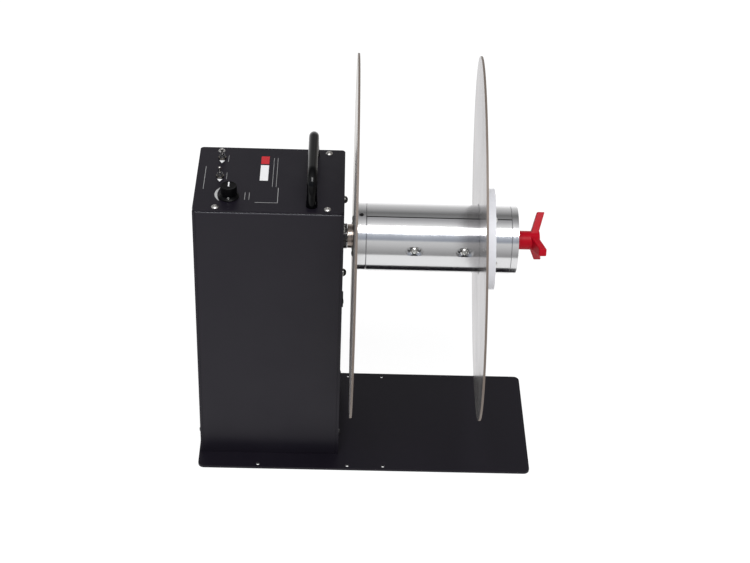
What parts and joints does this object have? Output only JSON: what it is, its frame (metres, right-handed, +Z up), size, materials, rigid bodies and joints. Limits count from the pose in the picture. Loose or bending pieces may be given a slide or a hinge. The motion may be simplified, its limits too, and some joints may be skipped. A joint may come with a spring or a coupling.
{
  "type": "label rewinder",
  "caption": "Benchtop label rewinder: a steel cabinet on a base plate drives a spindle with an expanding core chuck between large flat discs, with torque and direction controls on top.",
  "frame": {"origin": "centre of the base plate's underside, which stands on the bench", "axes": "+X along the spindle towards the chuck knob, +Y to the back, +Z up"},
  "size_m": [0.39, 0.4064, 0.4781],
  "materials": {
    "black_powder_coat": "fine satin black powder coat on sheet steel",
    "black_steel": "blackened steel",
    "zinc_steel": "bright zinc plate",
    "ground_steel": "ground and turned bright steel",
    "turned_aluminium": "turned aluminium with fine lathe lines",
    "satin_aluminium": "satin rolled aluminium sheet",
    "motor_case": "plated steel case",
    "black_plastic": "moulded black nylon",
    "white_plastic": "turned white acetal",
    "red_plastic": "moulded red nylon, slight gloss",
    "circuit_board": "solder-masked board",
    "belt_rubber": "flat moulded belt"
  },
  "bodies": {
    "cabinet": {"base_plate": "black_powder_coat", "left_side_plate": "black_powder_coat", "right_side_plate": "black_powder_coat", "front_cover": "black_powder_coat", "rear_cover": "black_powder_coat", "top_panel": "black_powder_coat", "base_screws": "black_steel", "side_screws": "black_steel", "top_panel_screws": "zinc_steel", "carry_handle": "black_plastic", "handle_screws": "zinc_steel", "bearing_housing": "black_steel", "housing_screws": "black_steel", "front_bearing": "ground_steel", "rear_bearing": "ground_steel", "motor_bracket": "black_steel", "motor_body": "motor_case", "motor_screws": "zinc_steel", "drive_belt": "belt_rubber", "circuit_board": "circuit_board", "board_standoffs": "zinc_steel", "board_screws": "zinc_steel", "potentiometer": "motor_case", "pot_nut": "zinc_steel", "range_switch_body": "motor_case", "direction_switch_body": "motor_case", "switch_nuts": "zinc_steel", "rocker_housing": "black_plastic", "power_inlet": "black_plastic", "inlet_nut": "zinc_steel"},
    "spindle": {"spindle_shaft": "ground_steel", "bearing_spacer": "ground_steel", "shaft_collar": "ground_steel", "spindle_pulley": "turned_aluminium", "drive_hub": "ground_steel", "inner_disc": "satin_aluminium", "inner_disc_screws": "zinc_steel", "chuck_collar": "turned_aluminium", "collar_set_screw": "zinc_steel", "chuck_core": "turned_aluminium", "chuck_end_cap": "turned_aluminium", "end_cap_screws": "zinc_steel", "jaw_screws": "zinc_steel"},
    "motor_rotor": {"motor_shaft": "ground_steel", "motor_pulley": "turned_aluminium"},
    "torque_knob": {"torque_knob": "black_plastic", "pot_shaft": "zinc_steel"},
    "range_lever": {"range_switch_lever": "zinc_steel"},
    "direction_lever": {"direction_switch_lever": "zinc_steel"},
    "power_rocker": {"power_rocker": "black_plastic"},
    "chuck_knob": {"chuck_knob": "red_plastic", "scroll_shaft": "ground_steel", "scroll_discs": "ground_steel"},
    "jaw_1": {"jaw_1": "turned_aluminium"},
    "jaw_2": {"jaw_2": "turned_aluminium"},
    "jaw_3": {"jaw_3": "turned_aluminium"},
    "outer_flange": {"outer_disc": "satin_aluminium", "flange_hub": "white_plastic", "flange_screws": "zinc_steel"}
  },
  "joints": [
    {"name": "spindle_spin", "type": "hinge", "parent": "cabinet", "child": "spindle", "pos_m": [-0.031, 0, 0.275], "axis": [1, 0, 0], "continuous": true},
    {"name": "motor_spin", "type": "hinge", "parent": "cabinet", "child": "motor_rotor", "pos_m": [-0.031, 0, 0.12], "axis": [1, 0, 0], "continuous": true},
    {"name": "chuck_knob_turn", "type": "hinge", "parent": "spindle", "child": "chuck_knob", "pos_m": [-0.031, 0, 0.275], "axis": [-1, 0, 0], "range_deg": [0, 75]},
    {"name": "jaw_1_slide", "type": "slide", "parent": "spindle", "child": "jaw_1", "axis": [0, -0.9833, 0.1822], "range_m": [0, 0.00075]},
    {"name": "jaw_2_slide", "type": "slide", "parent": "spindle", "child": "jaw_2", "axis": [0, 0.6494, 0.7604], "range_m": [0, 0.00075]},
    {"name": "jaw_3_slide", "type": "slide", "parent": "spindle", "child": "jaw_3", "axis": [0, 0.3338, -0.9426], "range_m": [0, 0.00075]},
    {"name": "outer_flange_slide", "type": "slide", "parent": "spindle", "child": "outer_flange", "axis": [1, 0, 0], "range_m": [-0.115, 0.024]},
    {"name": "torque_knob_turn", "type": "hinge", "parent": "cabinet", "child": "torque_knob", "pos_m": [-0.1554, -0.036, 0.348], "axis": [0, 0, -1], "range_deg": [-240, 60]},
    {"name": "range_lever_flip", "type": "hinge", "parent": "cabinet", "child": "range_lever", "pos_m": [-0.1674, 0.0405, 0.3504], "axis": [-1, 0, 0], "range_deg": [0, 26]},
    {"name": "direction_lever_flip", "type": "hinge", "parent": "cabinet", "child": "direction_lever", "pos_m": [-0.1674, 0.003, 0.3504], "axis": [-1, 0, 0], "range_deg": [0, 26]},
    {"name": "power_rocker_tilt", "type": "hinge", "parent": "cabinet", "child": "power_rocker", "pos_m": [-0.0325, 0, 0.186], "axis": [0, 1, 0], "range_deg": [0, 14]}
  ],
  "couplings": [
    {"joint": "motor_spin", "follows": "spindle_spin", "ratio": 2.5},
    {"joint": "chuck_knob_turn", "follows": "jaw_1_slide", "rad_per_m": 1745.3},
    {"joint": "jaw_2_slide", "follows": "jaw_1_slide", "ratio": 1},
    {"joint": "jaw_3_slide", "follows": "jaw_1_slide", "ratio": 1}
  ]
}
